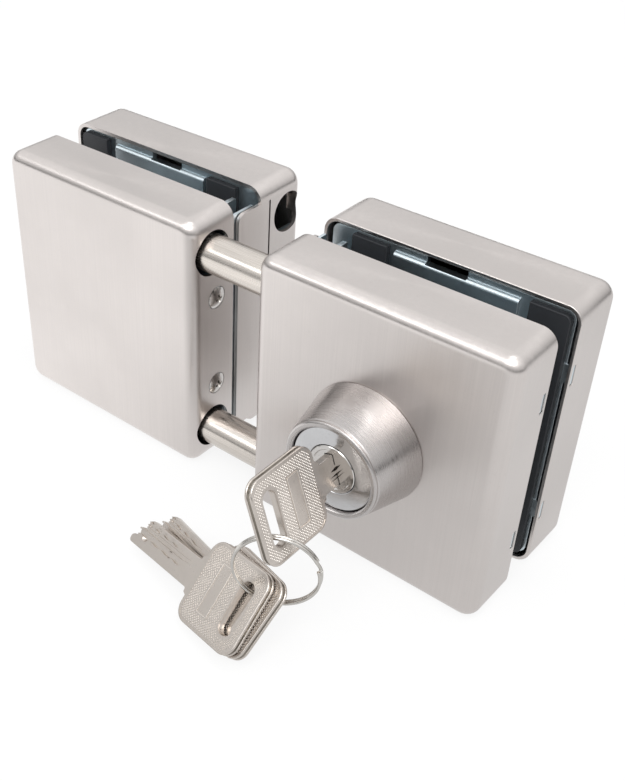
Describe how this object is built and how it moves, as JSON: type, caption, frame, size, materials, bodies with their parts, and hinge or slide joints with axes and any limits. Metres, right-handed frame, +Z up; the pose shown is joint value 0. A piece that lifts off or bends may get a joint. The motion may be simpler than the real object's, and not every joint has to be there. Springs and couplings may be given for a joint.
{
  "type": "glass door lock",
  "caption": "Double-bolt cylinder lock and strike that clamp on the edges of two frameless glass doors without drilling, with linked keys.",
  "frame": {"origin": "bottom of the lock clamp's meeting edge, in the middle plane of the glass", "axes": "+X from the strike clamp to the lock clamp, along the door width; -Y towards the keyed side; +Z up"},
  "size_m": [0.188, 0.1119, 0.09],
  "materials": {
    "brushed_steel": "satin, brushed up and down",
    "zinc_casting": "plain die-cast zinc, matt",
    "rubber": "matt black sheet",
    "bright_steel": "polished",
    "plated_screws": "zinc plated",
    "brass_pins": "turned",
    "key_steel": "nickel plated, worn smooth"
  },
  "bodies": {
    "lock_front": {"lock_front_cover": "brushed_steel", "lock_frame": "zinc_casting", "lock_front_pads": "rubber", "lock_collar": "brushed_steel", "cylinder_body": "bright_steel", "cylinder_nut": "zinc_casting", "driver_pins": "brass_pins", "pin_springs": "bright_steel"},
    "lock_rear": {"lock_rear_cover": "brushed_steel", "lock_clamp_plate": "zinc_casting", "lock_rear_pads": "rubber", "lock_clamp_screws": "plated_screws"},
    "plug_group": {"plug": "bright_steel", "key_pins": "brass_pins", "plug_retainer": "bright_steel", "pinion": "zinc_casting"},
    "bolts": {"bolt_carriage": "zinc_casting", "bolt_rack": "zinc_casting", "upper_bolt": "bright_steel", "lower_bolt": "bright_steel", "bolt_screws": "plated_screws"},
    "key": {"key": "key_steel"},
    "ring": {"key_ring": "bright_steel"},
    "upper_spare": {"spare_key_upper": "key_steel"},
    "lower_spare": {"spare_key_lower": "key_steel"},
    "strike_front": {"strike_front_cover": "brushed_steel", "strike_frame": "zinc_casting", "strike_front_pads": "rubber", "strike_front_keeper": "zinc_casting", "strike_front_screws": "bright_steel"},
    "strike_rear": {"strike_rear_cover": "brushed_steel", "strike_clamp_plate": "zinc_casting", "strike_rear_pads": "rubber", "strike_clamp_screws": "plated_screws", "strike_rear_keeper": "zinc_casting", "strike_rear_screws": "bright_steel"}
  },
  "joints": [
    {"name": "clamp_close", "type": "slide", "parent": "lock_front", "child": "lock_rear", "axis": [0, -1, 0], "range_m": [0, 0.002]},
    {"name": "key_turn", "type": "hinge", "parent": "lock_front", "child": "plug_group", "pos_m": [0.041, -0.0411, 0.045], "axis": [0, -1, 0], "range_deg": [-20, 340]},
    {"name": "bolt_throw", "type": "slide", "parent": "lock_front", "child": "bolts", "axis": [1, 0, 0], "range_m": [-0.00175, 0.02968]},
    {"name": "key_pull", "type": "slide", "parent": "plug_group", "child": "key", "axis": [0, -1, 0], "range_m": [0, 0.032]},
    {"name": "ring_swing", "type": "hinge", "parent": "key", "child": "ring", "pos_m": [0.0431, -0.0667, 0.03922], "axis": [0.8829, 0.4695, 0], "range_deg": [-12, 12]},
    {"name": "upper_spare_swing", "type": "hinge", "parent": "ring", "child": "upper_spare", "pos_m": [0.03688, -0.07001, 0.01751], "axis": [0.7143, 0.3798, -0.5878], "range_deg": [-3, 0.5]},
    {"name": "lower_spare_swing", "type": "hinge", "parent": "ring", "child": "lower_spare", "pos_m": [0.03983, -0.06844, 0.01581], "axis": [0.8397, 0.4465, -0.309], "range_deg": [-0.5, 3]},
    {"name": "strike_pull", "type": "slide", "parent": "lock_front", "child": "strike_front", "axis": [-1, 0, 0], "range_m": [0, 0.04]},
    {"name": "strike_close", "type": "slide", "parent": "strike_front", "child": "strike_rear", "axis": [0, -1, 0], "range_m": [0, 0.002]}
  ],
  "couplings": [
    {"joint": "bolt_throw", "follows": "key_turn", "m_per_rad": 0.005}
  ]
}
